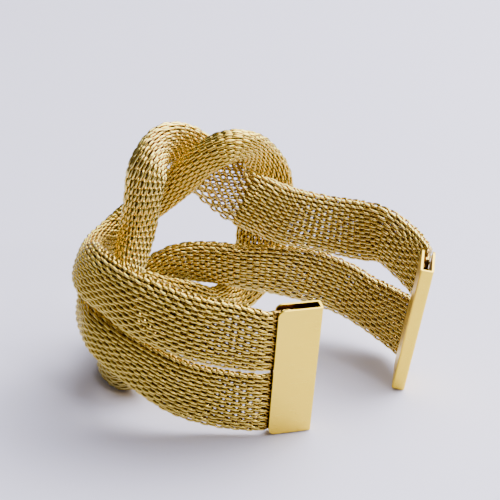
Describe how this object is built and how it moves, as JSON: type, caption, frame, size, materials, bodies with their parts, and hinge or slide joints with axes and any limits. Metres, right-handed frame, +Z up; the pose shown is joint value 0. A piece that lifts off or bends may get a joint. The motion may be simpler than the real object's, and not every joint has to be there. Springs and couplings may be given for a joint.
{
  "type": "mesh bracelet",
  "caption": "Open cuff bracelet of tubular wire mesh: doubled mesh loops locked in a square knot at the back, their ends gripped in folded sheet plates beside the opening",
  "frame": {"origin": "floor level, under the middle of the bounding box of the cuff as it rests on its side", "axes": "+X runs to the picture's right along the long way across the cuff, +Y away from the viewer, +Z up, within 11 degrees of the wrist's axis"},
  "size_m": [0.0695, 0.0531, 0.0484],
  "materials": {
    "mesh": "polished gold-tone wire",
    "plate": "satin pale gold"
  },
  "bodies": {
    "root": {"near_mesh_loop": "mesh", "far_mesh_loop": "mesh", "near_end_plate": "plate", "far_end_plate": "plate"}
  },
  "joints": []
}
